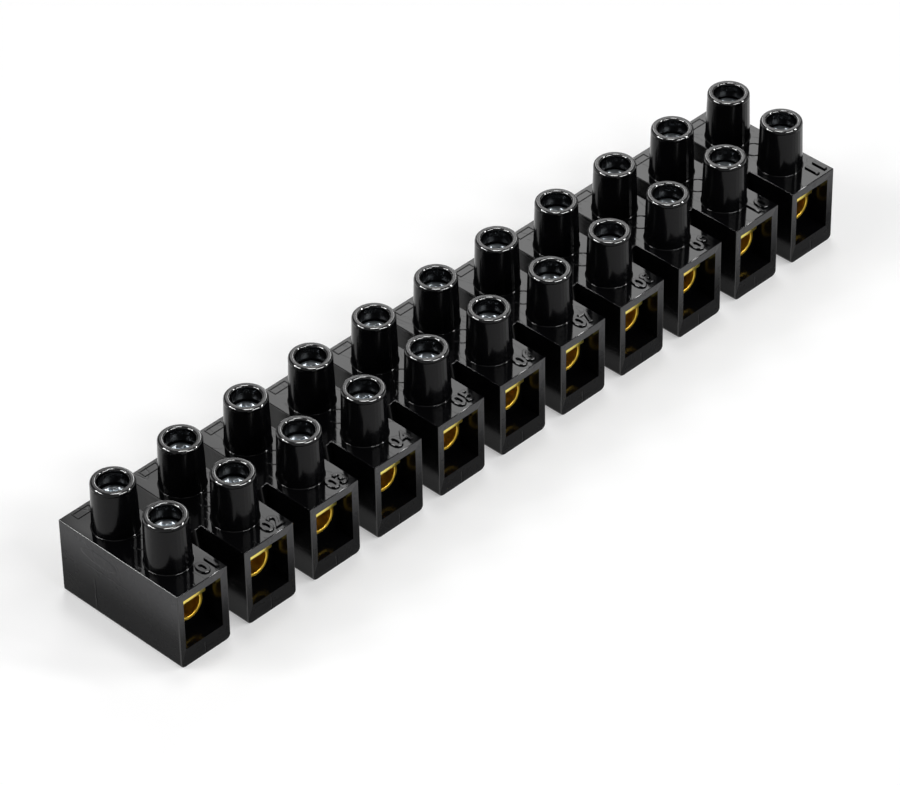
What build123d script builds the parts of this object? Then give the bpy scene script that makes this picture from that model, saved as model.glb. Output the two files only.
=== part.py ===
from build123d import *
import os
from math import sqrt

os.makedirs("parts", exist_ok=True)

# Terminal strip: a moulded row of poles along X, with wire entries at -Y and +Y, standing on Z = 0.
# Each pole holds a brass sleeve, a springy wire guard and two clamp screws.

# Sizes are in millimetres. The number of poles, and the slot between two modules.
ways = 11
slot_width = 2.6
body_depth = 19.0
foot_radius = 0.6

# Webs that join the modules, each with a fixing hole
web_depth = 5.3
fixing_hole_radius = 1.6

# Brass sleeve: a round bore under a crown thick enough for the threads
sleeve_axis_height = 5.55
sleeve_bore_radius = 1.5
sleeve_wall = 0.5
sleeve_crown = 1.45
sleeve_recess = 2.3
sleeve_shoulder_chamfer = 0.35

# Seat of the sleeve, and the wire entries before it
seat_clearance = 0.1
seat_setback = 0.6
entry_side_room = 0.75
entry_room_below = 1.3
entry_room_above = 0.6
face_land = 0.1
face_slope = 0.12

# Walls of the moulding
side_wall = 0.95
roof_thickness = 1.2

# Wire guard: a leaf under the bore's roof, with wide ends turned up before the sleeve
guard_thickness = 0.25
guard_leaf_width = 1.7
guard_bend_radius = 0.4
guard_corner_chamfer = 0.4
guard_end_drop = 0.3
guard_end_gap = 0.25
guard_neck_reach = 0.1
guard_clearance = 0.05

# Clamp screws, shown backed out
thread_radius = 1.5
thread_clearance = 0.05
tip_clearance = 0.05
point_length = 0.9
point_inset = 0.4
head_overhang = 0.15
head_height = 1.5
head_depth_below_rim = 1.9
recess_span = 2.0
recess_width = 0.5
recess_depth = 0.9

# Funnels that lead the screwdriver to the screws
screw_setback = 5.3
funnel_height = 6.4
funnel_wall = 0.74
funnel_taper = 0.18
head_clearance = 0.15
neck_clearance = 0.1
shoulder_rise = 0.7

# Heights and widths that follow from the sleeve and the walls around it
sleeve_radius = sleeve_bore_radius + sleeve_wall
sleeve_top_height = sleeve_axis_height + sleeve_bore_radius + sleeve_crown
sleeve_length = body_depth - 2 * sleeve_recess
entry_depth = sleeve_recess + seat_setback
entry_width = 2 * (sleeve_radius + entry_side_room)
entry_floor = sleeve_axis_height - sleeve_radius - entry_room_below
entry_ceiling = sleeve_top_height + entry_room_above
entry_height = entry_ceiling - entry_floor
entry_middle = (entry_ceiling + entry_floor) / 2
seat_length = body_depth - 2 * entry_depth
seat_ceiling = sleeve_top_height + seat_clearance
module_width = entry_width + 2 * side_wall
body_height = entry_ceiling + roof_thickness
pitch = module_width + slot_width

# Funnels around the screws
screw_offset = body_depth / 2 - screw_setback
head_radius = thread_radius + head_overhang
neck_radius = thread_radius + neck_clearance
funnel_bore_radius = head_radius + head_clearance
funnel_rim_radius = funnel_bore_radius + funnel_wall
funnel_base_radius = funnel_rim_radius + funnel_taper
funnel_top = body_height + funnel_height
shoulder_height = body_height + shoulder_rise

# The guard's leaf lies as high in the round bore as its width allows, and the screws end just above it
guard_leaf_rise = sqrt(sleeve_bore_radius**2 - (guard_leaf_width / 2) ** 2)
guard_leaf_top = sleeve_axis_height + guard_leaf_rise - guard_clearance
guard_leaf_bottom = guard_leaf_top - guard_thickness
guard_end_top = sleeve_top_height - guard_end_drop
guard_end_width = 2 * sleeve_radius
guard_inner_length = sleeve_length + 2 * guard_end_gap
guard_outer_length = guard_inner_length + 2 * guard_thickness
guard_neck_length = sleeve_length + 2 * guard_neck_reach
screw_tip_height = guard_leaf_top + tip_clearance
screw_head_top = funnel_top - head_depth_below_rim
screw_head_bottom = screw_head_top - head_height

# One funnel, solid, as it stands on a module's top
with BuildPart() as funnel_form:
    with BuildSketch(Plane.XZ):
        with BuildLine():
            Polyline(
                (0, body_height),
                (funnel_base_radius, body_height),
                (funnel_rim_radius, funnel_top),
                (0, funnel_top),
                close=True,
            )
        make_face()
    revolve(axis=Axis.Z)

# The well inside one funnel: a neck for the shank, a shoulder and a wider bore for the head
with BuildPart() as screw_well:
    with BuildSketch(Plane.XZ):
        with BuildLine():
            Polyline(
                (0, sleeve_axis_height),
                (neck_radius, sleeve_axis_height),
                (neck_radius, shoulder_height),
                (funnel_bore_radius, shoulder_height),
                (funnel_bore_radius, funnel_top),
                (0, funnel_top),
                close=True,
            )
        make_face()
    revolve(axis=Axis.Z)

# One wire entry, cut from the front face, with the face around it sloping in very slightly
with BuildPart() as entry_hollow:
    with BuildSketch(Plane.XZ.offset(body_depth / 2 - entry_depth)):
        with Locations((0, entry_middle)):
            Rectangle(entry_width, entry_height)
    extrude(amount=entry_depth)
    with BuildSketch(Plane.XZ.offset(body_depth / 2)):
        with Locations((0, (body_height - face_land + foot_radius) / 2)):
            Rectangle(module_width - 2 * face_land, body_height - face_land - foot_radius)
    with BuildSketch(Plane.XZ.offset(body_depth / 2 - face_slope)):
        with Locations((0, entry_middle)):
            Rectangle(entry_width, entry_height)
    loft(ruled=True)

# The hollow of one pole: the sleeve's seat, an entry at each end and two screw wells
with BuildPart() as pole_hollow:
    with BuildSketch(Plane.XZ):
        with Locations((0, sleeve_axis_height)):
            Circle(sleeve_radius + seat_clearance)
        with Locations((0, (sleeve_axis_height + seat_ceiling) / 2)):
            Rectangle(2 * (sleeve_radius + seat_clearance), seat_ceiling - sleeve_axis_height)
    extrude(amount=seat_length / 2, both=True)
    add(entry_hollow.part)
    mirror(entry_hollow.part, about=Plane.XZ)
    with GridLocations(0, 2 * screw_offset, 1, 2):
        add(screw_well.part)

with BuildPart() as housing:
    with BuildSketch(Plane.XZ) as module_section:
        with GridLocations(pitch, 0, ways, 1):
            with Locations((0, body_height / 2)):
                Rectangle(module_width, body_height)
        fillet(module_section.vertices().group_by(Axis.Y)[0], foot_radius)
    extrude(amount=body_depth / 2, both=True)
    with BuildSketch():
        with GridLocations(pitch, 0, ways - 1, 1):
            Rectangle(slot_width, web_depth)
    extrude(amount=body_height)
    with BuildSketch():
        with GridLocations(pitch, 0, ways - 1, 1):
            Circle(fixing_hole_radius)
    extrude(amount=body_height, mode=Mode.SUBTRACT)
    with GridLocations(pitch, 2 * screw_offset, ways, 2):
        add(funnel_form.part)
    with GridLocations(pitch, 0, ways, 1):
        add(pole_hollow.part, mode=Mode.SUBTRACT)

# Sleeve: a round tube with a thick flat-topped crown that takes the two screw threads
with BuildPart() as sleeve_form:
    with BuildSketch(Plane.XZ) as sleeve_section:
        with Locations((0, sleeve_axis_height)):
            Circle(sleeve_radius)
        with Locations((0, (sleeve_axis_height + sleeve_top_height) / 2)):
            Rectangle(2 * sleeve_radius, sleeve_top_height - sleeve_axis_height)
        chamfer(sleeve_section.vertices().group_by(Axis.Y)[-1], sleeve_shoulder_chamfer)
        with Locations((0, sleeve_axis_height)):
            Circle(sleeve_bore_radius, mode=Mode.SUBTRACT)
    extrude(amount=sleeve_length / 2, both=True)
    with BuildSketch(Plane.XY.offset(sleeve_axis_height)):
        with GridLocations(0, 2 * screw_offset, 1, 2):
            Circle(thread_radius + thread_clearance)
    extrude(amount=sleeve_top_height - sleeve_axis_height, mode=Mode.SUBTRACT)

# Wire guard: a strip bent up at both ends, with the middle cut narrow to lie inside the sleeve
with BuildPart() as guard_form:
    with BuildSketch(Plane.YZ) as guard_side:
        with Locations((0, (guard_leaf_bottom + guard_end_top) / 2)):
            Rectangle(guard_outer_length, guard_end_top - guard_leaf_bottom)
        fillet(guard_side.vertices().group_by(Axis.Y)[0], guard_bend_radius)
        with BuildSketch(mode=Mode.SUBTRACT) as guard_inside:
            with Locations((0, (guard_leaf_top + guard_end_top) / 2)):
                Rectangle(guard_inner_length, guard_end_top - guard_leaf_top)
            inner_corners = guard_inside.vertices().group_by(Axis.Y)[0]
            fillet(inner_corners, guard_bend_radius - guard_thickness)
    extrude(amount=guard_end_width / 2, both=True)
    top_corners = guard_form.edges().filter_by(Axis.Y).group_by(Axis.Z)[-1]
    chamfer(top_corners, guard_corner_chamfer)
    with BuildSketch():
        for side in (-1, 1):
            with Locations((side * (guard_end_width + guard_leaf_width) / 4, 0)):
                Rectangle((guard_end_width - guard_leaf_width) / 2, guard_neck_length)
    extrude(amount=guard_leaf_top, mode=Mode.SUBTRACT)

# Clamp screw: a shank that tapers to its point, a head and a cross recess for the driver
with BuildPart() as screw_form:
    with BuildSketch(Plane.XZ):
        with BuildLine():
            Polyline(
                (0, screw_tip_height),
                (thread_radius - point_inset, screw_tip_height),
                (thread_radius, screw_tip_height + point_length),
                (thread_radius, screw_head_bottom),
                (head_radius, screw_head_bottom),
                (head_radius, screw_head_top),
                (0, screw_head_top),
                close=True,
            )
        make_face()
    revolve(axis=Axis.Z)
    with BuildSketch(Plane.XY.offset(screw_head_top)):
        Rectangle(recess_span, recess_width)
        Rectangle(recess_width, recess_span)
    extrude(amount=-recess_depth, mode=Mode.SUBTRACT)

# One set of pieces for each pole. The moulding is a single piece, written as one section for each pole:
# the sections meet at the middle of the webs, where such a strip is also cut to length.
for pole in range(ways):
    pole_x = (pole - (ways - 1) / 2) * pitch
    number = f"{pole + 1:02d}"
    with BuildPart() as section:
        add(housing.part)
        with Locations((pole_x, 0, funnel_top / 2)):
            Box(pitch, body_depth, funnel_top, mode=Mode.INTERSECT)
    with BuildPart() as sleeve:
        with Locations((pole_x, 0, 0)):
            add(sleeve_form.part)
    with BuildPart() as wire_guard:
        with Locations((pole_x, 0, 0)):
            add(guard_form.part)
    with BuildPart() as screw_front:
        with Locations((pole_x, -screw_offset, 0)):
            add(screw_form.part)
    with BuildPart() as screw_back:
        with Locations((pole_x, screw_offset, 0)):
            add(screw_form.part)
    section.part.label = f"housing_{number}"
    sleeve.part.label = f"sleeve_{number}"
    wire_guard.part.label = f"wire_guard_{number}"
    screw_front.part.label = f"screw_front_{number}"
    screw_back.part.label = f"screw_back_{number}"
    for piece in (section, sleeve, wire_guard, screw_front, screw_back):
        export_step(piece.part, f"parts/{piece.part.label}.step")
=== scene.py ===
import math

import bmesh
import bpy
import numpy as np
from bpy.props import FloatProperty, FloatVectorProperty, IntProperty, PointerProperty
from bpy.types import Operator, Panel, PropertyGroup
from mathutils import Matrix, Vector


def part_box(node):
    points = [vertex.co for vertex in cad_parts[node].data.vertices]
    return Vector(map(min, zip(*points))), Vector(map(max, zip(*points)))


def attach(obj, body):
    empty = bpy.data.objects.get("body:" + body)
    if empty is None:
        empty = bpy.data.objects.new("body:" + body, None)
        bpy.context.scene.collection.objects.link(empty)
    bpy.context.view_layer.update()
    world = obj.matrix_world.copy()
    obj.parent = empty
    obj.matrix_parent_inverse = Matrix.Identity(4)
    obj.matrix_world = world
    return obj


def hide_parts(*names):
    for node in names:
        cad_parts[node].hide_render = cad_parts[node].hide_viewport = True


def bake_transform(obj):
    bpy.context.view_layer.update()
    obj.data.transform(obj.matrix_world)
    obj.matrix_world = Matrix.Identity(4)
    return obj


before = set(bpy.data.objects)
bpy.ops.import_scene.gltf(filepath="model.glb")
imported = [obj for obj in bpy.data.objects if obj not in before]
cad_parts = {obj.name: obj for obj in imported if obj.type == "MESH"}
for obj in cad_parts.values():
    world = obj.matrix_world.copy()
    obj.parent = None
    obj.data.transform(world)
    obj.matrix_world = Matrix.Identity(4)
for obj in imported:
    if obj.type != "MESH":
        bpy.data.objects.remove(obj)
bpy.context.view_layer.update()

bl_info = {
    "name": "Terminal strip",
    "version": (1, 0, 0),
    "blender": (4, 5, 0),
    "location": "View3D > Sidebar > Terminal strip",
    "description": "Finishes a moulded terminal strip with its brass sleeves, wire guards and clamp screws",
    "category": "Object",
}

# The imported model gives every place: the poles along X, the funnels, the sleeves and the screws
MM = 0.001
sleeve_count = sum(name.startswith("sleeve_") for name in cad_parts)
poles = [f"{index + 1:02d}" for index in range(sleeve_count)]
sides = ("front", "back")


def middle(node):
    """The middle of a node's box at rest, as an array."""
    low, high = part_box(node)
    return np.array((low + high) / 2)


pole_x = {number: middle(f"sleeve_{number}")[0] for number in poles}
sections = sorted(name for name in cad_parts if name.startswith("housing"))
housing_low = np.min([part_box(name)[0] for name in sections], axis=0)
housing_high = np.max([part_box(name)[1] for name in sections], axis=0)
screw_low, screw_high = (np.array(corner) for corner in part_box("screw_front_01"))
sleeve_low, sleeve_high = (np.array(corner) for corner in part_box("sleeve_01"))
guard_low, guard_high = (np.array(corner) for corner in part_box("wire_guard_01"))
screw_y = abs(middle("screw_front_01")[1])

# Heights and sizes of the moulding that the box of a node doesn't give
BODY_TOP = 10.3 * MM
MODULE_WIDTH = 7.4 * MM
WEB_DEPTH = 5.3 * MM
RIM_RADIUS = 2.54 * MM
BORE_RADIUS = 1.8 * MM
FUNNEL_SLOPE = 0.18 / 6.4
RIM_DEPTH = 0.4 * MM
HEAD_CROWN = 0.06 * MM
PITCH = pole_x["02"] - pole_x["01"]

# Where a wire guard narrows to its leaf, and how far a mark or a thread's end starts inside its piece
NECK_Y = sleeve_high[1] + 0.1 * MM
SUNK = 0.02 * MM

# Places nearer than this, in metres, are the same one
SAME = 1e-6
QUARTER = math.pi / 2


# Mesh helpers


def nearest_pole(x):
    """The place along X of the pole that is nearest to x."""
    return min(pole_x.values(), key=lambda place: abs(place - x))


def add_piece(name, mesh, body, material, smooth=True):
    """Links a mesh as a piece with one material, riding on a body where one is given."""
    piece = bpy.data.objects.new(name, mesh)
    bpy.context.scene.collection.objects.link(piece)
    mesh.materials.clear()
    mesh.materials.append(material)
    mesh.polygons.foreach_set("use_smooth", np.full(len(mesh.polygons), smooth))
    if body:
        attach(piece, body)
    return piece


def grid_faces(rows, columns, wrap_rows=False, wrap_columns=False):
    """Quads of a grid of points stored row by row; a wrapped row or column joins the last to the first."""
    row = np.arange(rows if wrap_rows else rows - 1)
    column = np.arange(columns if wrap_columns else columns - 1)
    row, column = np.meshgrid(row, column, indexing="ij")
    next_row = (row + 1) % rows
    next_column = (column + 1) % columns
    quads = np.stack(
        (
            row * columns + column,
            row * columns + next_column,
            next_row * columns + next_column,
            next_row * columns + column,
        ),
        axis=-1,
    )
    return quads.reshape(-1, 4)


def mesh_of(name, points, faces):
    """A mesh from an array of points and a list of arrays of faces, with its normals turned outwards."""
    mesh = bpy.data.meshes.new(name)
    rows = [list(map(int, face)) for block in faces for face in block]
    mesh.from_pydata(np.asarray(points, float).reshape(-1, 3).tolist(), [], rows)
    work = bmesh.new()
    work.from_mesh(mesh)
    bmesh.ops.remove_doubles(work, verts=work.verts, dist=SAME / 10)
    bmesh.ops.dissolve_degenerate(work, edges=work.edges, dist=SAME / 100)
    bmesh.ops.recalc_face_normals(work, faces=work.faces)
    work.to_mesh(mesh)
    work.free()
    return mesh


def full_turn(columns):
    """Angles of one turn, evenly spaced by column."""
    return np.arange(columns) * 2 * math.pi / columns


def turned_points(radius, height, turn):
    """A turned surface: point (row, column) lies at radius[row], at the angle turn[column], at height[row].

    Radius and height are arrays by row, or by row and column where the turned shape is helical.
    """
    shape = (len(radius), len(turn))
    radius = np.broadcast_to(np.asarray(radius, float).reshape(len(radius), -1), shape)
    height = np.broadcast_to(np.asarray(height, float).reshape(len(height), -1), shape)
    return np.stack((radius * np.cos(turn), radius * np.sin(turn), height), axis=-1)


def repeated(points, places):
    """Points of a closed surface, a grid that wraps both ways, set at each place, and all its quads."""
    rows, columns, _ = points.shape
    faces = grid_faces(rows, columns, wrap_rows=True, wrap_columns=True)
    quads = [faces + index * rows * columns for index in range(len(places))]
    return np.stack([points + place for place in places]), quads


def merged_mesh(nodes, planes, spread=None):
    """One closed mesh from CAD nodes whose loose triangles are merged and whose flat areas are whole faces.

    Faces that two nodes share are dropped, and spread moves each vertex to its finished place. The mesh is
    cut along planes of constant X through every hole, so that no flat face runs all the way round a hole,
    and a bevel can follow each edge.
    """
    work = bmesh.new()
    for node in nodes:
        work.from_mesh(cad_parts[node].data)
    meeting = [(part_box(first)[1].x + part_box(second)[0].x) / 2 for first, second in zip(nodes, nodes[1:])]
    shared = [
        face
        for face in work.faces
        if any(all(abs(vertex.co.x - place) < SAME for vertex in face.verts) for place in meeting)
    ]
    bmesh.ops.delete(work, geom=shared, context="FACES")
    bmesh.ops.remove_doubles(work, verts=work.verts, dist=2 * SAME)
    if spread:
        for vertex in work.verts:
            spread(vertex)
        bmesh.ops.remove_doubles(work, verts=work.verts, dist=2 * SAME)
        bmesh.ops.dissolve_degenerate(work, edges=work.edges, dist=SAME / 10)
    for place in planes:
        parts = work.verts[:] + work.edges[:] + work.faces[:]
        cut = bmesh.ops.bisect_plane(
            work, geom=parts, dist=SAME / 10, plane_co=(place, 0, 0), plane_no=(1, 0, 0)
        )
        for part in cut["geom_cut"]:
            if isinstance(part, bmesh.types.BMEdge):
                part.seam = True
    bmesh.ops.dissolve_limit(
        work, angle_limit=math.radians(0.6), verts=work.verts, edges=work.edges, delimit={"SEAM"}
    )
    if not all(edge.is_manifold for edge in work.edges):
        raise RuntimeError("the merged mesh isn't closed")
    return work


def round_edges(piece, width, segments, edge_material=None):
    """Rounds the edges that carry a bevel weight, and lets the flat faces keep their own normals."""
    rounding = piece.modifiers.new("Edge rounds", "BEVEL")
    if edge_material:
        piece.data.materials.append(edge_material)
        rounding.material = len(piece.data.materials) - 1
    rounding.width = width
    rounding.segments = segments
    rounding.limit_method = "WEIGHT"
    rounding.use_clamp_overlap = False
    rounding.miter_outer = "MITER_SHARP"
    flats = piece.modifiers.new("Flat faces", "WEIGHTED_NORMAL")
    flats.mode = "FACE_AREA"
    flats.weight = 80
    flats.keep_sharp = True


# Shader helpers


class Nodes:
    """Places and joins shader nodes in a material's or a group's tree."""

    def __init__(self, tree):
        self.tree = tree

    def fill(self, node, values):
        """Gives a node's inputs, by name or number, their values or the sockets that feed them."""
        for key, value in values.items():
            if isinstance(value, bpy.types.NodeSocket):
                self.tree.links.new(value, node.inputs[key])
            else:
                node.inputs[key].default_value = value

    def add(self, kind, inputs=None, **settings):
        """A new node with its settings and its inputs."""
        node = self.tree.nodes.new(kind)
        for key, value in settings.items():
            setattr(node, key, value)
        self.fill(node, inputs or {})
        return node

    def math(self, operation, *values):
        """Result of one sum on values and sockets."""
        return self.add("ShaderNodeMath", dict(enumerate(values)), operation=operation).outputs[0]

    def ramp(self, value, low, high, start=0.0, end=1.0):
        """Value eased from low..high to start..end, held at both ends."""
        inputs = {"Value": value, "From Min": low, "From Max": high, "To Min": start, "To Max": end}
        return self.add("ShaderNodeMapRange", inputs, interpolation_type="SMOOTHSTEP").outputs["Result"]

    def noise(self, vector, scale, detail=2.0, roughness=0.5, distortion=0.0):
        """Noise from 0 to 1 around a place, in cells of 1 / scale metres."""
        inputs = {"Vector": vector, "Scale": scale, "Detail": detail}
        inputs.update({"Roughness": roughness, "Distortion": distortion})
        return self.add("ShaderNodeTexNoise", inputs).outputs["Fac"]

    def bump(self, height, strength, distance):
        """Normal of a surface whose relief is a height from 0 to 1 times a distance."""
        inputs = {"Height": height, "Strength": strength, "Distance": distance}
        return self.add("ShaderNodeBump", inputs).outputs["Normal"]

    def mix_colour(self, factor, first, second):
        """Colour that runs from the first to the second as the factor runs from 0 to 1."""
        inputs = {0: factor, 6: (*first, 1.0), 7: (*second, 1.0)}
        return self.add("ShaderNodeMix", inputs, data_type="RGBA").outputs[2]


def new_group(name, inputs, outputs):
    """An empty shader node group with named value sockets, and helpers to fill it."""
    group = bpy.data.node_groups.new(name, "ShaderNodeTree")
    for label in inputs:
        socket = group.interface.new_socket(label, in_out="INPUT", socket_type="NodeSocketFloat")
        socket.default_value = 1.0
    for label in outputs:
        group.interface.new_socket(label, in_out="OUTPUT", socket_type="NodeSocketFloat")
    nodes = Nodes(group)
    return group, nodes, nodes.add("NodeGroupInput"), nodes.add("NodeGroupOutput")


def moulded_skin_group():
    """Moulded surface of long flow lines, broad sink waves and a fine pebble."""
    name = "Moulded skin"
    if name in bpy.data.node_groups:
        return bpy.data.node_groups[name]
    group, nodes, start, end = new_group(
        name, ("Flow", "Sink", "Pebble"), ("Height", "Roughness Share", "Tone")
    )
    # Cells of the noise: 4 mm for the flow lines, 7 mm for the waves and 0.2 mm for the pebble
    place = nodes.add("ShaderNodeTexCoord").outputs["Object"]
    stretched = nodes.add("ShaderNodeMapping", {"Vector": place, "Scale": (1.0, 0.35, 1.0)})
    flow_noise = nodes.noise(stretched.outputs["Vector"], 260.0, detail=3.0, distortion=1.4)
    flow_line = nodes.math("ABSOLUTE", nodes.math("SUBTRACT", flow_noise, 0.5))
    flow = nodes.ramp(flow_line, 0.0, 0.018, -1.0, 0.0)
    sink = nodes.noise(place, 150.0, detail=1.0)
    pebble = nodes.noise(place, 5200.0, detail=2.0)
    flow = nodes.math("MULTIPLY", flow, start.outputs["Flow"])
    pebble = nodes.math("MULTIPLY", pebble, start.outputs["Pebble"])
    height = nodes.math("MULTIPLY", flow, 0.1)
    height = nodes.math("MULTIPLY_ADD", sink, start.outputs["Sink"], height)
    height = nodes.math("MULTIPLY_ADD", pebble, 0.02, height)
    rough = nodes.math("MULTIPLY_ADD", nodes.noise(place, 420.0, detail=4.0), 0.7, 0.65)
    rough = nodes.math("MULTIPLY_ADD", flow, -0.2, rough)
    tone = nodes.noise(place, 90.0, detail=3.0)
    nodes.fill(end, {"Height": height, "Roughness Share": rough, "Tone": tone})
    return group


def worked_metal_group():
    """Worked metal of drawn lines along Y, small pits and a slow tarnish."""
    name = "Worked metal"
    if name in bpy.data.node_groups:
        return bpy.data.node_groups[name]
    group, nodes, start, end = new_group(
        name, ("Lines", "Pits"), ("Height", "Roughness Share", "Tarnish")
    )
    # Cells of the noise: 0.1 mm across the lines, 0.3 mm for the pits and 1.7 mm for the tarnish
    place = nodes.add("ShaderNodeTexCoord").outputs["Object"]
    drawn = nodes.add("ShaderNodeMapping", {"Vector": place, "Scale": (1.0, 0.03, 1.0)}).outputs["Vector"]
    lines = nodes.noise(drawn, 9000.0, detail=3.0)
    pits = nodes.ramp(nodes.noise(place, 3200.0, detail=2.0), 0.28, 0.4, -1.0, 0.0)
    height = nodes.math("MULTIPLY", lines, start.outputs["Lines"])
    height = nodes.math("MULTIPLY_ADD", pits, start.outputs["Pits"], height)
    rough = nodes.math("MULTIPLY_ADD", nodes.noise(place, 1500.0, detail=4.0), 0.9, 0.55)
    tarnish = nodes.ramp(nodes.noise(place, 600.0, detail=4.0, roughness=0.6), 0.35, 0.75)
    nodes.fill(end, {"Height": height, "Roughness Share": rough, "Tarnish": tarnish})
    return group


def mould_marks_group():
    """Marks of the mould: flow and weld lines, a plateau and a pit on the ends, a gate line on each face.

    Their centres and half widths along Y and Z are in millimetres. The gate line repeats with the poles.
    """
    name = "Mould marks"
    if name in bpy.data.node_groups:
        return bpy.data.node_groups[name]
    group, nodes, _, end = new_group(name, (), ("Ends", "Faces"))
    place = nodes.add("ShaderNodeTexCoord").outputs["Object"]
    axes = nodes.add("ShaderNodeSeparateXYZ", {"Vector": place})
    wobble = nodes.math("MULTIPLY_ADD", nodes.noise(place, 700.0, detail=3.0), 0.5 * MM, -0.25 * MM)
    y = nodes.math("ADD", axes.outputs["Y"], wobble)
    z = nodes.math("ADD", axes.outputs["Z"], nodes.math("MULTIPLY", wobble, 0.4))

    def band(value, centre, half):
        """1 along a line at a centre, eased to 0 at half its width."""
        away = nodes.math("ABSOLUTE", nodes.math("SUBTRACT", value, centre * MM))
        return nodes.ramp(away, half * 0.2 * MM, half * MM, 1.0, 0.0)

    def scaled(value, centre, half):
        """Distance from a centre as a share of a half width."""
        return nodes.math("DIVIDE", nodes.math("SUBTRACT", value, centre * MM), half * MM)

    flow = nodes.math("MULTIPLY", band(z, 6.5, 0.12), band(axes.outputs["Y"], 1.7, 5.2))
    weld = nodes.math("MULTIPLY", band(y, 4.0, 0.16), band(z, 2.9, 2.9))
    oblong_y = scaled(y, 3.1, 2.9)
    oblong_z = scaled(z, 8.2, 0.85)
    oblong = nodes.math("MULTIPLY", oblong_y, oblong_y)
    oblong = nodes.math("MULTIPLY_ADD", oblong_z, oblong_z, oblong)
    plateau = nodes.ramp(oblong, 0.75, 1.1, 1.0, 0.0)
    pit = nodes.math("MULTIPLY", band(y, 0.3, 0.2), band(z, 6.0, 0.2))
    height = nodes.math("MULTIPLY_ADD", flow, 0.8, nodes.math("MULTIPLY", weld, 0.9))
    height = nodes.math("MULTIPLY_ADD", plateau, 1.2, height)
    height = nodes.math("MULTIPLY_ADD", pit, -2.0, height)
    along = nodes.math("MULTIPLY_ADD", axes.outputs["X"], 1.0 / PITCH, 0.5)
    away = nodes.math("MULTIPLY", nodes.math("SUBTRACT", nodes.math("FRACT", along), 0.5), PITCH)
    gate = nodes.math("MULTIPLY", band(away, 0.0, 0.14), band(z, 0.9, 0.9))
    nodes.fill(end, {"Ends": height, "Faces": nodes.math("MULTIPLY", gate, -1.6)})
    return group


def new_material(name):
    """A material with its Principled shader, and helpers to place nodes before it."""
    material = bpy.data.materials.new(name)
    material.use_nodes = True
    return material, Nodes(material.node_tree), material.node_tree.nodes["Principled BSDF"]


def moulded_material(name):
    """A material with the moulded skin and the object's axes, from which a finish of the moulding is made."""
    material, nodes, shader = new_material(name)
    skin = nodes.add("ShaderNodeGroup", node_tree=moulded_skin_group())
    place = nodes.add("ShaderNodeTexCoord").outputs["Object"]
    axes = nodes.add("ShaderNodeSeparateXYZ", {"Vector": place})
    return material, nodes, shader, skin, axes


def black_moulding():
    """Glossy black plastic of the funnels, tops and inner walls, with faint flow lines."""
    name = "Black moulding"
    if name in bpy.data.materials:
        return bpy.data.materials[name]
    finish = bpy.context.scene.strip_finish
    material, nodes, shader, skin, axes = moulded_material(name)
    height = axes.outputs["Z"]
    above = nodes.ramp(height, BODY_TOP + 0.1 * MM, BODY_TOP + 0.3 * MM)
    below_rim = nodes.ramp(height, housing_high[2] - 0.4 * MM, housing_high[2] - 0.3 * MM, 1.0, 0.0)
    funnel = nodes.math("MULTIPLY", above, below_rim)
    inside = nodes.ramp(height, BODY_TOP - 0.4 * MM, BODY_TOP - 0.2 * MM, 1.0, 0.0)
    step = finish.funnel_roughness - finish.gloss_roughness
    base = nodes.math("MULTIPLY_ADD", nodes.math("ADD", funnel, inside), step, finish.gloss_roughness)
    inputs = {
        "Base Color": (*finish.moulding_colour, 1.0),
        "Roughness": nodes.math("MULTIPLY", base, skin.outputs["Roughness Share"]),
        "Specular IOR Level": finish.moulding_specular,
        "Normal": nodes.bump(skin.outputs["Height"], 0.5, 0.05 * MM),
    }
    nodes.fill(shader, inputs)
    return material


def satin_face():
    """Satin black of the ends and of the faces around the openings, with a painted highlight that lightens
    them towards the top.
    """
    name = "Satin face"
    if name in bpy.data.materials:
        return bpy.data.materials[name]
    finish = bpy.context.scene.strip_finish
    material, nodes, shader, skin, axes = moulded_material(name)
    across = nodes.math("ABSOLUTE", axes.outputs["X"])
    end_mask = nodes.ramp(across, housing_high[0] - 0.2 * MM, housing_high[0] - 0.05 * MM)
    # Painted highlight: the base colour turns paler from 3 mm up to the top of the body, standing in for
    # light from above, varied by the skin's tone
    rise = nodes.ramp(axes.outputs["Z"], 3.0 * MM, BODY_TOP)
    painted_highlight = nodes.math("MULTIPLY", rise, nodes.math("MULTIPLY_ADD", skin.outputs["Tone"], 0.8, 0.6))
    marks = nodes.add("ShaderNodeGroup", node_tree=mould_marks_group())
    height = nodes.math("MULTIPLY_ADD", marks.outputs["Ends"], end_mask, skin.outputs["Height"])
    height = nodes.math("ADD", height, marks.outputs["Faces"])
    inputs = {
        "Base Color": nodes.mix_colour(painted_highlight, finish.satin_colour, finish.painted_highlight_colour),
        "Roughness": nodes.math("MULTIPLY", skin.outputs["Roughness Share"], finish.satin_roughness),
        "Specular IOR Level": finish.satin_specular,
        "Normal": nodes.bump(height, 0.8, 0.05 * MM),
    }
    nodes.fill(shader, inputs)
    return material


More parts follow.
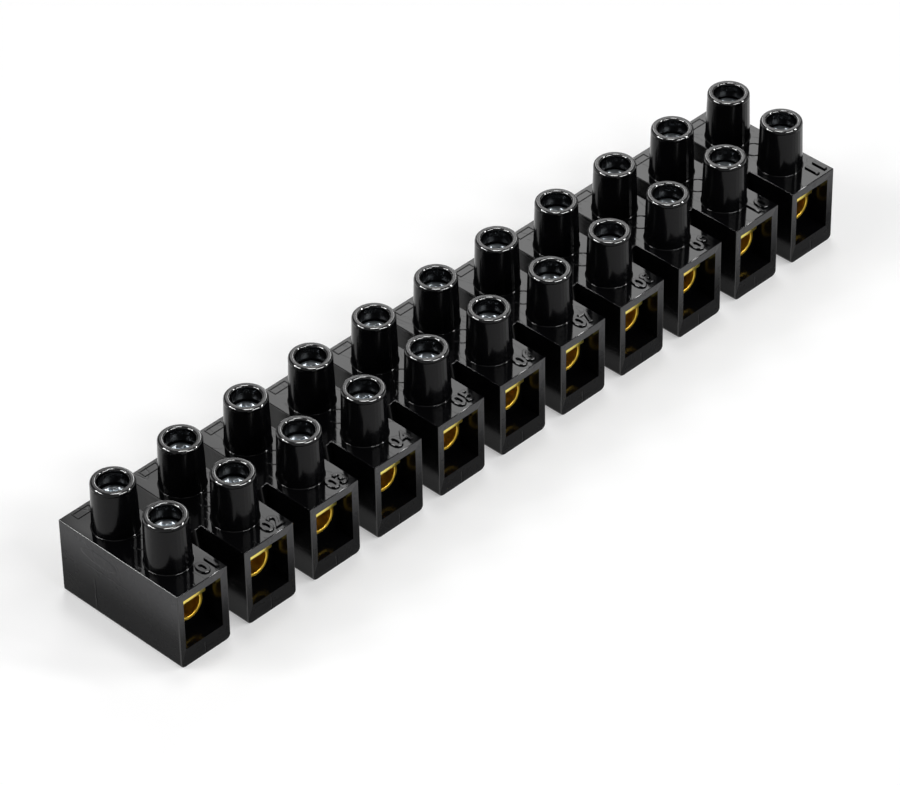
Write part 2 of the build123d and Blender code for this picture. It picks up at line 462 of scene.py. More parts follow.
def polished_edge():
    """Rounded edges of the moulding, with a polish that is strongest on the funnels' rims."""
    name = "Polished edge"
    if name in bpy.data.materials:
        return bpy.data.materials[name]
    finish = bpy.context.scene.strip_finish
    material, nodes, shader, skin, axes = moulded_material(name)
    height = axes.outputs["Z"]
    rim = nodes.ramp(height, housing_high[2] - 0.18 * MM, housing_high[2] - 0.1 * MM)
    low = nodes.ramp(height, BODY_TOP + 0.3 * MM, BODY_TOP + 0.4 * MM, finish.edge_polish, 0.0)
    inputs = {
        "Base Color": (*finish.moulding_colour, 1.0),
        "Roughness": nodes.math("MULTIPLY", skin.outputs["Roughness Share"], finish.edge_roughness),
        "Specular IOR Level": finish.moulding_specular,
        "Normal": nodes.bump(skin.outputs["Height"], 0.2, 0.02 * MM),
        "Coat Weight": nodes.math("MAXIMUM", rim, low),
        "Coat Roughness": finish.edge_roughness,
        "Coat IOR": 2.5,
    }
    nodes.fill(shader, inputs)
    return material


def metal_material(name, bright, dull, roughness, lines, pits, relief=0.01 * MM):
    """A worked metal of one colour that darkens to its tarnish, with drawn lines and pits."""
    if name in bpy.data.materials:
        return bpy.data.materials[name]
    material, nodes, shader = new_material(name)
    worked = nodes.add("ShaderNodeGroup", node_tree=worked_metal_group())
    nodes.fill(worked, {"Lines": lines, "Pits": pits})
    inputs = {
        "Base Color": nodes.mix_colour(worked.outputs["Tarnish"], bright, dull),
        "Metallic": 1.0,
        "Roughness": nodes.math("MULTIPLY", worked.outputs["Roughness Share"], roughness),
        "Normal": nodes.bump(worked.outputs["Height"], 0.25, relief),
    }
    nodes.fill(shader, inputs)
    return material


def sleeve_brass():
    """Drawn brass of the sleeves."""
    finish = bpy.context.scene.strip_finish
    bright, dull = finish.brass_colour, finish.brass_tarnish
    return metal_material("Sleeve brass", bright, dull, roughness=0.34, lines=0.6, pits=0.3)


def guard_brass():
    """Rolled spring brass of the wire guards."""
    finish = bpy.context.scene.strip_finish
    bright, dull = finish.guard_colour, finish.guard_tarnish
    return metal_material("Guard brass", bright, dull, roughness=0.33, lines=0.4, pits=0.1)


def screw_zinc():
    """Dull, faintly pitted zinc plating of the screws."""
    finish = bpy.context.scene.strip_finish
    bright, dull = finish.zinc_colour, finish.zinc_tarnish
    return metal_material("Screw zinc", bright, dull, 0.34, lines=0.0, pits=3.0, relief=0.06 * MM)


# Sizes and colours that a user would change


def length(label, text, default, low=0.0):
    """A length in metres."""
    return FloatProperty(name=label, description=text, default=default, min=low, unit="LENGTH")


def share(label, text, default):
    """A share of one."""
    return FloatProperty(
        name=label, description=text, default=default, min=0.0, max=1.0, subtype="FACTOR"
    )


def brightness(label, text, default):
    """A brightness of a lamp or a wall, where 1 is seen as white."""
    return FloatProperty(name=label, description=text, default=default, min=0.0)


def colour(label, text, default):
    """A colour in linear red, green and blue."""
    return FloatVectorProperty(name=label, description=text, default=default, subtype="COLOR")


def angle(label, text, degrees):
    """An angle, given in degrees."""
    return FloatProperty(name=label, description=text, default=math.radians(degrees), subtype="ANGLE")


class StripMoulding(PropertyGroup):
    """Sizes of the moulding's rounds and numbers"""

    edge_round: length("Edge rounding", "Width of the round left on the modules' edges", 0.11 * MM)
    edge_segments: IntProperty(
        name="Edge segments", description="Faces across each rounded edge", default=3, min=1, max=6
    )
    rim_round: length("Rim rounding", "Radius of the round outside each rim", 0.26 * MM, 0.02 * MM)
    mouth_round: length("Mouth rounding", "Radius of the round inside each rim", 0.2 * MM, 0.02 * MM)
    number_height: length("Number height", "Height of the raised pole numbers", 1.9 * MM)
    number_relief: length("Number relief", "How far the numbers stand above the module", 0.2 * MM)


class StripMetal(PropertyGroup):
    """Sizes of the sleeves' mouths and of the screws' threads and recesses"""

    mouth_round: length("Mouth rounding", "Width of the turned edge at a sleeve's mouth", 0.15 * MM)
    thread_pitch: length("Thread pitch", "Travel of a screw in one turn", 0.5 * MM, 0.1 * MM)
    thread_depth: length("Thread depth", "From the crest of the thread to its root", 0.3 * MM)
    recess_span: length("Recess span", "Length of each arm of the cross recess", 2.1 * MM)
    recess_width: length("Recess width", "Width of each arm of the cross recess", 0.52 * MM)
    recess_depth: length("Recess depth", "Depth of the cross recess at its middle", 0.8 * MM)


class StripFinish(PropertyGroup):
    """Colours and finishes of the plastic and the metals"""

    moulding_colour: colour("Moulding", "Colour of the moulding", (0.0022, 0.0022, 0.0026))
    moulding_specular: share("Moulding gloss", "Specular level of the moulding", 0.16)
    gloss_roughness: share("Polished roughness", "Roughness of the tops", 0.07)
    funnel_roughness: share("Funnel roughness", "Roughness of funnels and inner walls", 0.16)
    edge_roughness: share("Edge roughness", "Roughness of the rounded edges", 0.1)
    edge_polish: share("Edge polish", "Polish of lower edges as a share of the rims'", 0.22)
    satin_colour: colour("Satin", "Colour of ends and faces", (0.006, 0.006, 0.0064))
    # Painted highlight: the paler colour that the ends and faces reach towards their top
    painted_highlight_colour: colour("Painted top highlight", "Colour of the bloom on ends and faces", (0.06, 0.06, 0.062))
    satin_specular: share("Satin gloss", "Specular level of ends and faces", 0.06)
    satin_roughness: share("Satin roughness", "Roughness of ends and faces", 0.28)
    brass_colour: colour("Brass", "Colour of the sleeves", (0.92, 0.62, 0.08))
    brass_tarnish: colour("Brass tarnish", "Colour of tarnished brass", (0.66, 0.40, 0.04))
    guard_colour: colour("Guard brass", "Colour of the wire guards", (1.0, 0.86, 0.2))
    guard_tarnish: colour("Guard tarnish", "Colour of tarnished wire guards", (0.95, 0.7, 0.14))
    zinc_colour: colour("Zinc", "Colour of the plated screws", (0.86, 0.92, 0.97))
    zinc_tarnish: colour("Dull zinc", "Colour of dull spots on the screws", (0.52, 0.58, 0.64))


class StripStage(PropertyGroup):
    """Camera, floor and lamps"""

    azimuth: angle("Camera azimuth", "Direction of the camera around Z", -45.02)
    elevation: angle("Camera elevation", "Height of the camera as an angle", 38.66)
    roll: angle("Camera roll", "Turn of the camera about its own axis", -1.015)
    distance: length("Camera distance", "From the camera to the strip", 562.2 * MM)
    focal_length: FloatProperty(
        name="Focal length", description="Lens of the camera", default=195.91, min=1.0, unit="CAMERA"
    )
    floor_colour: colour("Floor", "Colour of the floor", (1.0, 1.0, 1.0))
    white_share: share("White share", "Share of plain white in the floor that is seen", 0.38)
    zenith: brightness("Zenith", "Brightness of the studio overhead", 0.06)
    horizon: brightness("Horizon", "Brightness of the studio's low walls", 0.35)
    back_light: brightness("Back light", "Brightness of the softbox behind", 6.3)
    left_light: brightness("Left strip", "Brightness of the tall lamp on the left", 17.0)
    right_light: brightness("Right strip", "Brightness of the tall lamp on the right", 38.0)
    bank_light: brightness("Bank light", "Brightness of the two wide lamps", 15.5)
    top_light: brightness("Top light", "Brightness of the lamp overhead", 13.0)


# The moulding


def shape_moulding(vertex):
    """Starts the sloping faces at the modules' own edges, and ends the funnels below their turned rims."""
    land = 0.1 * MM
    nearest = nearest_pole(vertex.co.x)
    if abs(abs(vertex.co.y) - housing_high[1]) < SAME:
        side = vertex.co.x - nearest
        if abs(abs(side) - (MODULE_WIDTH / 2 - land)) < 2 * SAME:
            vertex.co.x = nearest + math.copysign(MODULE_WIDTH / 2, side)
        if abs(vertex.co.z - (BODY_TOP - land)) < 2 * SAME:
            vertex.co.z = BODY_TOP
    if vertex.co.z > housing_high[2] - SAME:
        axis = Vector((nearest, math.copysign(screw_y, vertex.co.y), vertex.co.z))
        outward = vertex.co - axis
        if outward.length > (RIM_RADIUS + BORE_RADIUS) / 2:
            outward *= 1 + RIM_DEPTH * FUNNEL_SLOPE / RIM_RADIUS
        vertex.co = axis + outward - Vector((0, 0, RIM_DEPTH))


def edge_share(edge):
    """How much of the full rounding an edge of the moulding gets, by where it lies.

    Edges of the wells, the funnels and the openings, and those where a web meets a module, stay sharp.
    """
    centre = (edge.verts[0].co + edge.verts[1].co) / 2
    if edge.calc_face_angle(0.0) < math.radians(30):
        return 0.0
    side = abs(centre.x - nearest_pole(centre.x))
    at_floor = centre.z < 10 * SAME
    in_well = math.hypot(side, abs(centre.y) - screw_y) < BORE_RADIUS + 0.2 * MM
    on_funnel = centre.z > BODY_TOP + 1 * MM
    in_opening = side < 2.8 * MM and centre.z < 9.2 * MM
    beside_web = abs(abs(centre.y) - WEB_DEPTH / 2) < 0.1 * MM and centre.z < BODY_TOP - 10 * SAME
    if in_well or on_funnel or ((in_opening or beside_web) and not at_floor):
        return 0.0
    return 0.6 if at_floor else 1.0


def is_satin(face):
    """Whether a face of the moulding is an end of the strip or lies around an opening."""
    centre = face.calc_center_median()
    if abs(face.normal.x) > 0.9:
        return abs(centre.x) > housing_high[0] - 0.1 * MM
    return abs(face.normal.y) > 0.9 and abs(centre.y) > housing_high[1] - 0.3 * MM


def polish_slopes(mesh, low, high):
    """Gives the polished edge to the faces whose normals rise by more than low and less than high."""
    mesh.materials.append(polished_edge())
    for polygon in mesh.polygons:
        polygon.material_index = int(low < polygon.normal.z < high)


class STRIP_OT_moulding(Operator):
    """Finish the black moulding as one piece with rounded edges"""

    bl_idname = "strip.moulding"
    bl_label = "Moulding"

    def execute(self, context):
        sizes = context.scene.strip_moulding
        places = list(pole_x.values())
        webs = [(first + second) / 2 for first, second in zip(places, places[1:])]
        work = merged_mesh(sections, places + webs, shape_moulding)
        weight = work.edges.layers.float.new("bevel_weight_edge")
        for edge in work.edges:
            edge[weight] = edge_share(edge)
            turned = edge.calc_face_angle(0.0)
            facing = all(abs(face.normal.y) > 0.9 for face in edge.link_faces)
            edge.smooth = edge[weight] > 0 or turned < math.radians(2 if facing else 30)
        satin = [is_satin(face) for face in work.faces]
        mesh = bpy.data.meshes.new("moulding")
        work.to_mesh(mesh)
        work.free()
        piece = add_piece("moulding", mesh, "strip", black_moulding())
        mesh.materials.append(satin_face())
        mesh.polygons.foreach_set("material_index", np.array(satin, dtype=np.int32))
        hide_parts(*sections)
        round_edges(piece, sizes.edge_round, sizes.edge_segments, polished_edge())
        return {"FINISHED"}


def rim_points(sizes):
    """Rim of one funnel: radius and height by row, turned about the funnel's axis.

    From the sloping wall a quarter circle leads to the flat top and a second one to the bore. The rows end
    inside the funnel's wall, where the last one joins the first.
    """
    top = housing_high[2]
    low = top - RIM_DEPTH - 0.05 * MM
    hold = 0.02 * MM
    outer, inner = RIM_RADIUS + 0.002 * MM, BORE_RADIUS - 0.005 * MM
    large, small = sizes.rim_round, sizes.mouth_round
    turn = np.linspace(0, QUARTER, 8)
    wall_height = np.array([low, top - large - hold])
    wall = outer + (top - wall_height) * FUNNEL_SLOPE
    outer_round = outer - large + large * np.cos(turn)
    outer_height = top - large + large * np.sin(turn)
    inner_round = inner + small - small * np.cos(turn[::-1])
    inner_height = top - small + small * np.sin(turn[::-1])
    flat = [outer - large - hold, inner + small + hold]
    radius = np.concatenate((wall, outer_round, flat, inner_round, [inner, inner]))
    height = np.concatenate(
        (wall_height, outer_height, [top, top], inner_height, [top - small - hold, low])
    )
    return turned_points(radius, height, full_turn(96))


class STRIP_OT_funnel_rims(Operator):
    """Turn a smooth rim on each funnel, rounded outside and inside"""

    bl_idname = "strip.funnel_rims"
    bl_label = "Funnel rims"

    def execute(self, context):
        rim = rim_points(context.scene.strip_moulding)
        places = [(pole_x[number], sign * screw_y, 0.0) for number in poles for sign in (-1, 1)]
        mesh = mesh_of("funnel_rims", *repeated(rim, places))
        add_piece("funnel_rims", mesh, "strip", black_moulding())
        polish_slopes(mesh, 0.05, 0.998)
        return {"FINISHED"}


def number_points(context, sizes, number):
    """A raised number: its outline in the plain font, thickened, with every top edge rounded off.

    It is moved so that its right side, its foot and its top come to their places on the module.
    """
    digit_share = 0.72
    right_side = 3.1 * MM
    foot_gap = 0.55 * MM
    curve = bpy.data.curves.new(f"number_{number}", "FONT")
    curve.body = number
    curve.size = sizes.number_height / digit_share
    curve.extrude = sizes.number_relief
    curve.bevel_depth = 0.06 * MM
    curve.bevel_resolution = 2
    curve.offset = 0.04 * MM
    curve.resolution_u = 3
    letter = bpy.data.objects.new(f"number_{number}", curve)
    context.scene.collection.objects.link(letter)
    context.view_layer.update()
    graph = context.evaluated_depsgraph_get()
    mesh = bpy.data.meshes.new_from_object(letter.evaluated_get(graph))
    place = np.zeros(len(mesh.vertices) * 3)
    mesh.vertices.foreach_get("co", place)
    place = place.reshape(-1, 3)
    place[:, 0] += pole_x[number] + right_side - place[:, 0].max()
    place[:, 1] += housing_low[1] + foot_gap - place[:, 1].min()
    place[:, 2] += BODY_TOP + sizes.number_relief - place[:, 2].max()
    faces = [list(polygon.vertices) for polygon in mesh.polygons]
    bpy.data.objects.remove(letter)
    bpy.data.meshes.remove(mesh)
    return place, faces


class STRIP_OT_pole_numbers(Operator):
    """Raise a plain number at the front of each module, as a mould leaves it"""

    bl_idname = "strip.pole_numbers"
    bl_label = "Pole numbers"

    def execute(self, context):
        points, faces, offset = [], [], 0
        for number in poles:
            place, outline = number_points(context, context.scene.strip_moulding, number)
            points.append(place)
            faces += [[index + offset for index in face] for face in outline]
            offset += len(place)
        mesh = mesh_of("pole_numbers", np.concatenate(points), [faces])
        add_piece("pole_numbers", mesh, "strip", black_moulding(), smooth=False)
        polish_slopes(mesh, 0.1, 0.95)
        return {"FINISHED"}


def witness_points():
    """Uneven ring left by an ejector pin: a trapezoid section turned about the pole's middle.

    Its crest is as high as its mean times one plus half the product of a sine of three waves around the
    ring and a sine of five.
    """
    turn = full_turn(48)
    uneven = 1.0 + 0.5 * np.sin(3 * turn + 0.7) * np.sin(5 * turn)
    radius = np.array([1.14, 1.20, 1.28, 1.34]) * MM
    crest = np.array([0.0, 1.0, 1.0, 0.0]) * 0.07 * MM
    height = BODY_TOP - SUNK + crest[:, None] * uneven
    return turned_points(radius, height, turn)


def frame_points(width, depth, line, relief):
    """A raised rectangular frame, as four corners at each station of its trapezoid section."""
    sign_x = np.array([1, -1, -1, 1])
    sign_y = np.array([1, 1, -1, -1])
    inset = np.array([0.0, 0.3, 0.7, 1.0]) * line
    rise = np.array([-SUNK, relief, relief, -SUNK])
    x = sign_x * (width / 2 - inset[:, None])
    y = sign_y * (depth / 2 - inset[:, None])
    return np.stack((x, y, np.broadcast_to(rise[:, None], x.shape)), axis=-1)


class STRIP_OT_mould_marks(Operator):
    """Add the round witness of an ejector pin and a plain raised frame to each module's top"""

    bl_idname = "strip.mould_marks"
    bl_label = "Mould marks"

    def execute(self, context):
        plain_frame = frame_points(width=2.6 * MM, depth=1.2 * MM, line=0.22 * MM, relief=0.08 * MM)
        plain_frame += (-0.9 * MM, 8.5 * MM, BODY_TOP)
        places = [(pole_x[number], 0.0, 0.0) for number in poles]
        for label, mark, smooth in (
            ("ejector_rings", witness_points(), True),
            ("plain_frames", plain_frame, False),
        ):
            mesh = mesh_of(label, *repeated(mark, places))
            add_piece(label, mesh, "strip", black_moulding(), smooth=smooth)
        return {"FINISHED"}


# The metal pieces


class STRIP_OT_sleeves(Operator):
    """Finish the brass sleeves with a bright turned edge at each mouth"""

    bl_idname = "strip.sleeves"
    bl_label = "Sleeves"

    def execute(self, context):
        mouth_round = context.scene.strip_metal.mouth_round
        for number in poles:
            node = f"sleeve_{number}"
            work = merged_mesh([node], [pole_x[number]])
            weight = work.edges.layers.float.new("bevel_weight_edge")
            for edge in work.edges:
                turned = edge.calc_face_angle(0.0)
                at_end = min(abs(vertex.co.y) for vertex in edge.verts) > sleeve_high[1] - SAME
                edge[weight] = 1.0 if at_end and turned > math.radians(40) else 0.0
                edge.smooth = bool(at_end or turned < math.radians(30))
            mesh = bpy.data.meshes.new(f"brass_{node}")
            work.to_mesh(mesh)
            work.free()
            piece = add_piece(f"brass_{node}", mesh, "strip", sleeve_brass())
            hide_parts(node)
            round_edges(piece, mouth_round, segments=3)
        return {"FINISHED"}


def guard_path():
    """Stations along one half of a wire guard, from its turned-up end to the middle.

    The side view is a straight end, a quarter circle and a straight leaf. The end is wide, with its
    corners rounded off as a circle of the corner's radius, and the leaf is narrow.
    """
    thickness = 0.25 * MM
    bend = 0.275 * MM
    corner = 0.4 * MM
    narrow = 1.7 * MM
    wide = guard_high[0] - guard_low[0]
    face_y = guard_high[1] - thickness / 2
    leaf_z = guard_low[2] + thickness / 2
    top_z = guard_high[2]
    corner_turn = np.linspace(0, QUARTER, 7)
    drop = (1 - np.cos(corner_turn)) * corner
    inset = (1 - np.sin(corner_turn)) * corner
    straight_z = np.concatenate((top_z - drop, np.linspace(top_z - corner, leaf_z + bend, 5)[1:]))
    straight_w = np.concatenate((wide - 2 * inset, np.full(4, wide)))
    turn = np.linspace(0, QUARTER, 9)[1:]
    turn_y = face_y - bend + bend * np.cos(turn)
    turn_z = leaf_z + bend - bend * np.sin(turn)
    leaf_y = np.concatenate(([NECK_Y, NECK_Y], np.linspace(NECK_Y, 0.0, 60)[1:]))
    y = np.concatenate((np.full(len(straight_z), face_y), turn_y, leaf_y))
    z = np.concatenate((straight_z, turn_z, np.full(len(leaf_y), leaf_z)))
    leaf_w = np.append(wide, np.full(len(leaf_y) - 1, narrow))
    width = np.concatenate((straight_w, np.full(len(turn_y), wide), leaf_w))
    normal_turn = np.concatenate((np.zeros(len(straight_z)), turn, np.full(len(leaf_y), QUARTER)))
    normal = np.stack((np.zeros(len(y)), np.cos(normal_turn), -np.sin(normal_turn)), axis=-1)
    centre = np.stack((np.zeros(len(y)), y, z), axis=-1)
    return centre, normal, width, thickness


def strip_surface(name, centre, normal, width, thickness):
    """A strip of sheet: a rounded rectangle of the local width carried along a path, with closed ends."""
    corner = 0.05 * MM
    turns = np.concatenate([np.linspace(0, QUARTER, 4) + step * QUARTER for step in range(4)])
    side = np.repeat([1, -1, -1, 1], 4)
    rise = np.repeat([1, 1, -1, -1], 4)
    across = side * (width[:, None] / 2 - corner) + corner * np.cos(turns)
    through = rise * (thickness / 2 - corner) + corner * np.sin(turns)
    points = centre[:, None, :] + across[..., None] * (1.0, 0.0, 0.0)
    points = points + through[None, :, None] * normal[:, None, :]
    rows, columns = across.shape
    faces = grid_faces(rows, columns, wrap_columns=True)
    cap = np.arange(columns)
    return mesh_of(name, points, [faces, [cap], [cap + (rows - 1) * columns]])


class STRIP_OT_wire_guards(Operator):
    """Make the springy wire guards, in halves that meet under a screw"""

    bl_idname = "strip.wire_guards"
    bl_label = "Wire guards"

    def execute(self, context):
        centre, normal, width, thickness = guard_path()
        leaf_z = centre[-1, 2]
        join = np.count_nonzero(centre[:, 1] >= screw_y)
        centre = np.insert(centre, join, (0.0, screw_y, leaf_z), axis=0)
        normal = np.insert(normal, join, normal[join], axis=0)
        width = np.insert(width, join, width[join])
        halves = (("end", slice(join + 1), NECK_Y - 0.3 * MM), ("leaf", slice(join, None), 0.2 * MM))
        for number in poles:
            for side, sign in zip(sides, (-1.0, 1.0)):
                turned = (1.0, sign, 1.0)
                for label, part, still_y in halves:
                    name = f"guard_{label}_{side}_{number}"
                    places = centre[part] * turned + (pole_x[number], 0.0, 0.0)
                    mesh = strip_surface(name, places, normal[part] * turned, width[part], thickness)
                    piece = add_piece(name, mesh, None, guard_brass())
                    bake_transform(piece)
                    if label == "end" and side == "front":
                        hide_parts(f"wire_guard_{number}")
        return {"FINISHED"}


def screw_shank_points(sizes, bottom, top, radius):
    """Threaded shank: the radius at an angle and height is the crest less the thread's depth.

    The depth follows a flat-topped wave of height over pitch less the angle's share of a turn. The thread
    fades out under the head, and follows the taper of the point.
    """
    point_length = 0.9 * MM
    point_inset = 0.4 * MM
    fade_length = 0.5 * MM
    step = sizes.thread_pitch / 8
    height = np.append(np.arange(bottom, top - step / 4, step), top)
    turn = full_turn(40)
    phase = (height[:, None] / sizes.thread_pitch - turn / (2 * math.pi)) % 1.0
    wave = np.clip(2.7 * np.abs(phase - 0.5) - 0.12, 0.0, 1.0)
    fade = np.clip((top - height) / fade_length, 0.0, 1.0)
    depth = sizes.thread_depth * wave * fade[:, None]
    point = np.clip(1.0 - (height - bottom) / point_length, 0.0, 1.0) * point_inset
    crest = (radius - point)[:, None]
    root = (radius - sizes.thread_depth - 0.55 * point)[:, None]
    thread = np.minimum(np.maximum(crest - depth, root), crest)
    return turned_points(thread, height, turn)


def cross_head_points(sizes, radius, top):
    """Head's top: a square grid pressed to a disc, crowned, with a tapered cross sunk in it.

    u and v run from -1 to 1; x is u times the root of 1 - v squared / 2, and y likewise. The cross is as
    deep as the share of its wall between a point and the nearest arm's side, and deepest in the middle.
    """
    half = sizes.recess_width / 2 / radius
    reach = sizes.recess_span / 2 / radius
    wall = 0.055 * MM / radius
    inner = np.array([0.0, 0.4 * half, 0.8 * half, half, half + wall, half + 2.2 * wall])
    outer = np.linspace(half + 2.2 * wall, reach - wall, 6)[1:]
    edge = np.array([reach, reach + wall, reach + 0.4 * (1 - reach), reach + 0.75 * (1 - reach), 1.0])
    line = np.concatenate((inner, outer, edge))
    line = np.concatenate((-line[:0:-1], line))
    u, v = np.meshgrid(line, line, indexing="ij")
    x = u * np.sqrt(1 - v * v / 2)
    y = v * np.sqrt(1 - u * u / 2)
    first = np.minimum(half + wall - np.abs(x), reach + wall - np.abs(y))
    second = np.minimum(half + wall - np.abs(y), reach + wall - np.abs(x))
    sunk = np.clip(np.maximum(first, second) / wall, 0.0, 1.0)
    distance = np.sqrt(x * x + y * y)
    floor = sizes.recess_depth * np.clip(1.0 - 0.75 * (distance / reach) ** 1.5, 0.1, 1.0)
    z = top - HEAD_CROWN * distance**2 - sunk * floor
    return np.stack((x * radius, y * radius, z), axis=-1)


def screw_mesh(sizes, name, centre):
    """Clamp screw: a threaded shank with a tapered point, and a crowned head with a cross recess.

    The head's side is turned: a quarter circle down from the cap's rim, a straight wall, and a small bevel
    to a flat underside. A ring of quads joins it to the cap, and a flat face closes each open end.
    """
    bottom, top = screw_low[2], screw_high[2]
    head_radius = (screw_high[0] - screw_low[0]) / 2
    shank_radius = 1.5 * MM
    head_bottom = top - 1.5 * MM
    edge_round = 0.12 * MM
    bevel = 0.06 * MM
    shank = screw_shank_points(sizes, bottom, head_bottom + SUNK, shank_radius)
    rows, columns, _ = shank.shape
    end = np.arange(columns)
    faces = [grid_faces(rows, columns, wrap_columns=True), [end], [end + (rows - 1) * columns]]
    cap_radius = head_radius - edge_round
    cap = cross_head_points(sizes, cap_radius, top)
    size = len(cap)
    cap_start = rows * columns
    index = np.arange(size * size).reshape(size, size)
    rim = np.concatenate((index[:-1, 0], index[-1, :-1], index[:0:-1, -1], index[0, :0:-1]))
    rim_x, rim_y, _ = cap.reshape(-1, 3)[rim].T
    round_turn = np.linspace(0, QUARTER, 5)[1:]
    round_radius = cap_radius + edge_round * np.sin(round_turn)
    round_height = top - HEAD_CROWN - edge_round * (1 - np.cos(round_turn))
    side_radius = np.append(round_radius, [head_radius, head_radius - bevel, 0.5 * head_radius])
    side_height = np.append(round_height, [head_bottom + bevel, head_bottom, head_bottom])
    side = turned_points(side_radius, side_height, np.arctan2(rim_y, rim_x))
    side_rows, ring, _ = side.shape
    side_start = cap_start + size * size
    around = np.arange(ring)
    inner_edge = (rim + cap_start, np.roll(rim, -1) + cap_start)
    outer_edge = (side_start + np.roll(around, -1), side_start + around)
    faces += [
        grid_faces(size, size) + cap_start,
        grid_faces(side_rows, ring, wrap_columns=True) + side_start,
        np.stack(inner_edge + outer_edge, axis=-1),
        [side_start + (side_rows - 1) * ring + around],
    ]
    points = np.concatenate([part.reshape(-1, 3) for part in (shank, cap, side)])
    return mesh_of(name, points + centre, faces)


class STRIP_OT_clamp_screws(Operator):
    """Make the plated clamp screws with their threads and cross recesses"""

    bl_idname = "strip.clamp_screws"
    bl_label = "Clamp screws"

    def execute(self, context):
        sizes = context.scene.strip_metal
        for number in poles:
            for side in sides:
                node = f"screw_{side}_{number}"
                centre = middle(node)
                name = f"threaded_{node}"
                mesh = screw_mesh(sizes, name, np.array((centre[0], centre[1], 0.0)))
                piece = add_piece(name, mesh, node, screw_zinc())
                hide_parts(node)
        return {"FINISHED"}


# Camera, floor and lights


def camera_axes(stage):
    """The camera's right, up and back directions from its azimuth, elevation and roll."""
    azimuth, elevation, roll = stage.azimuth, stage.elevation, stage.roll
    back = Vector(
        (
            math.sin(azimuth) * math.cos(elevation),
            -math.cos(azimuth) * math.cos(elevation),
            math.sin(elevation),
        )
    )
    level = Vector((0, 0, 1)).cross(back).normalized()
    rise = back.cross(level)
    right = math.cos(roll) * level + math.sin(roll) * rise
    up = -math.sin(roll) * level + math.cos(roll) * rise
    return right, up, back


def unit_vector(azimuth, elevation):
    """Direction from an azimuth, turned from +X to +Y, and an elevation, both in degrees."""
    azimuth, elevation = math.radians(azimuth), math.radians(elevation)
    flat = math.cos(elevation)
    return Vector((math.cos(azimuth) * flat, math.sin(azimuth) * flat, math.sin(elevation)))


def add_camera(stage):
    """The camera, aimed at the strip and then moved left and down to frame it."""
    right, up, back = camera_axes(stage)
    aim = Vector((0.3, 0.0, 7.0)) * MM
    left, down = 1.73 * MM, 3.99 * MM
    place = aim + back * stage.distance - right * left - up * down
    camera = bpy.data.cameras.new("camera")
    camera.sensor_width = 36.0
    camera.sensor_fit = "HORIZONTAL"
    camera.lens = stage.focal_length
    camera.clip_start = 0.01
    camera.clip_end = 20.0
    holder = bpy.data.objects.new("camera", camera)
    bpy.context.scene.collection.objects.link(holder)
    turn = Matrix((right, up, back)).transposed().to_4x4()
    holder.matrix_world = Matrix.Translation(place) @ turn
    bpy.context.scene.camera = holder


def white_floor(stage):
    """White floor that holds a soft contact shadow on a white ground, in mirrors as well as to the camera."""
    material, nodes, shader = new_material("Floor")
    inputs = {"Base Color": (*stage.floor_colour, 1.0), "Roughness": 0.9, "Specular IOR Level": 0.0}
    nodes.fill(shader, inputs)
    ray = nodes.add("ShaderNodeLightPath").outputs
    seen = nodes.math("MAXIMUM", ray["Is Camera Ray"], ray["Is Glossy Ray"])
    seen = nodes.math("MAXIMUM", seen, ray["Is Transmission Ray"])
    part = nodes.math("MULTIPLY", seen, stage.white_share)
    white = nodes.add("ShaderNodeEmission", {"Strength": 1.0})
    shaders = {0: part, 1: shader.outputs["BSDF"], 2: white.outputs["Emission"]}
    mixed = nodes.add("ShaderNodeMixShader", shaders)
    nodes.fill(nodes.tree.nodes["Material Output"], {"Surface": mixed.outputs[0]})
    return material


def add_floor(stage):
    """A square floor that reaches far enough to have no edge in view."""
    reach = 6.0
    mesh = bpy.data.meshes.new("floor")
    corners = [(reach * x, reach * y, 0.0) for x, y in ((-1, -1), (1, -1), (1, 1), (-1, 1))]
    mesh.from_pydata(corners, [], [(0, 1, 2, 3)])
    mesh.materials.append(white_floor(stage))
    floor = bpy.data.objects.new("floor", mesh)
    bpy.context.scene.collection.objects.link(floor)


def add_studio(stage):
    """The world: walls that fade from the horizon to the zenith, and a round softbox behind the strip."""
    world = bpy.data.worlds.new("studio")
    bpy.context.scene.world = world
    world.use_nodes = True
    nodes = Nodes(world.node_tree)
    direction = nodes.add("ShaderNodeTexCoord").outputs["Generated"]
    height = nodes.add("ShaderNodeSeparateXYZ", {"Vector": direction}).outputs["Z"]
    walls = nodes.ramp(height, 0.1, 0.5, stage.horizon, stage.zenith)
    towards = {0: direction, 1: unit_vector(43.7, 37.2)}
    facing = nodes.add("ShaderNodeVectorMath", towards, operation="DOT_PRODUCT").outputs["Value"]
    fade, full = math.cos(math.radians(8.5)), math.cos(math.radians(2.5))
    softbox = nodes.ramp(facing, fade, full, 0.0, stage.back_light)
    light = {"Color": (1.0, 1.0, 1.0, 1.0), "Strength": nodes.math("ADD", walls, softbox)}
    nodes.fill(nodes.tree.nodes["Background"], light)


# Soft lamps: azimuth and elevation in degrees, width and length in metres, the setting that holds the
# brightness, and the axis of the edges along which a tall lamp is mirrored whole
SOFT_LAMPS = (
    ("left strip", (131.0, 40.0), (0.03, 0.7), "left_light", (0, 1, 0)),
    ("right strip", (319.0, 40.0), (0.03, 0.7), "right_light", (1, 0, 0)),
    ("left bank", (148.0, 40.0), (0.5, 0.12), "bank_light", None),
    ("right bank", (275.0, 42.0), (0.5, 0.12), "bank_light", None),
    ("top", (45.0, 76.0), (0.2, 0.2), "top_light", None),
)


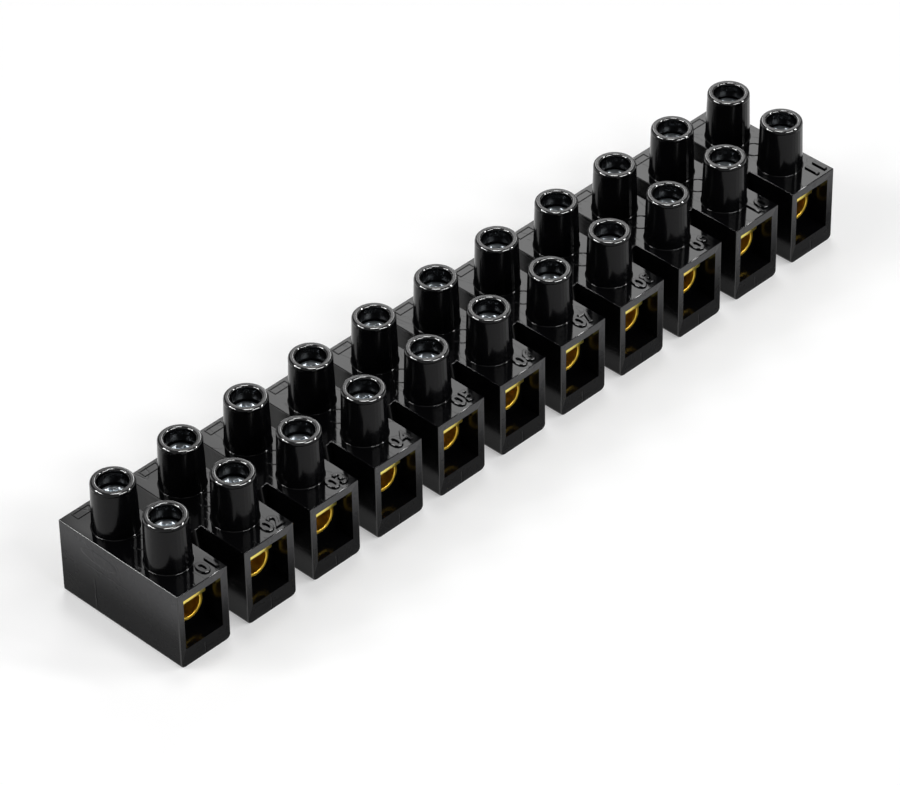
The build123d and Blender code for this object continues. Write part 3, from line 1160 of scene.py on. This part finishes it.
def add_lamp(name, direction, size, strength, edge_axis):
    """A soft rectangular lamp that faces the strip from an azimuth and elevation.

    Its long side lies square to the axis of the edges, where one is given.
    """
    target = Vector((0.0, 0.0, 10 * MM))
    distance = 0.9
    away = unit_vector(*direction)
    lamp = bpy.data.lights.new(name, "AREA")
    lamp.shape = "RECTANGLE"
    lamp.size, lamp.size_y = size
    lamp.energy = strength * size[0] * size[1] * math.pi
    holder = bpy.data.objects.new(name, lamp)
    bpy.context.scene.collection.objects.link(holder)
    turn = away.to_track_quat("Z", "Y").to_matrix()
    if edge_axis:
        rise = Vector(edge_axis).cross(away).normalized()
        turn = Matrix((rise.cross(away), rise, away)).transposed()
    holder.matrix_world = Matrix.Translation(target + away * distance) @ turn.to_4x4()


class STRIP_OT_stage(Operator):
    """Set up the camera at the photograph's angle, a white floor and soft lamps"""

    bl_idname = "strip.stage"
    bl_label = "Stage"

    def execute(self, context):
        stage = context.scene.strip_stage
        add_camera(stage)
        add_floor(stage)
        add_studio(stage)
        for name, direction, size, setting, edge_axis in SOFT_LAMPS:
            add_lamp(name, direction, size, getattr(stage, setting), edge_axis)
        context.scene.view_settings.view_transform = "Standard"
        return {"FINISHED"}


class STRIP_PT_panel(Panel):
    """Lists the strip's sizes, finishes and steps"""

    bl_idname = "STRIP_PT_panel"
    bl_label = "Terminal strip"
    bl_space_type = "VIEW_3D"
    bl_region_type = "UI"
    bl_category = "Terminal strip"

    def draw(self, context):
        layout = self.layout
        for label in GROUPS:
            settings = getattr(context.scene, label)
            box = layout.box()
            for key in settings.__annotations__:
                box.prop(settings, key)
        for step in STEPS:
            layout.operator(step.bl_idname)


STEPS = (
    STRIP_OT_moulding,
    STRIP_OT_funnel_rims,
    STRIP_OT_pole_numbers,
    STRIP_OT_mould_marks,
    STRIP_OT_sleeves,
    STRIP_OT_wire_guards,
    STRIP_OT_clamp_screws,
    STRIP_OT_stage,
)
GROUPS = {
    "strip_moulding": StripMoulding,
    "strip_metal": StripMetal,
    "strip_finish": StripFinish,
    "strip_stage": StripStage,
}


def register():
    """Registers the settings, with a place for each on the scene, the steps and the panel."""
    for group in GROUPS.values():
        bpy.utils.register_class(group)
    for label, group in GROUPS.items():
        setattr(bpy.types.Scene, label, PointerProperty(type=group))
    for step in STEPS:
        bpy.utils.register_class(step)
    bpy.utils.register_class(STRIP_PT_panel)


def unregister():
    """Takes away what register added, in the opposite order."""
    bpy.utils.unregister_class(STRIP_PT_panel)
    for step in reversed(STEPS):
        bpy.utils.unregister_class(step)
    for label in GROUPS:
        delattr(bpy.types.Scene, label)
    for group in reversed(GROUPS.values()):
        bpy.utils.unregister_class(group)


def main():
    """Builds every piece and the stage in order."""
    register()
    for step in STEPS:
        area, name = step.bl_idname.split(".")
        getattr(getattr(bpy.ops, area), name)()


if __name__ == "__main__":
    main()
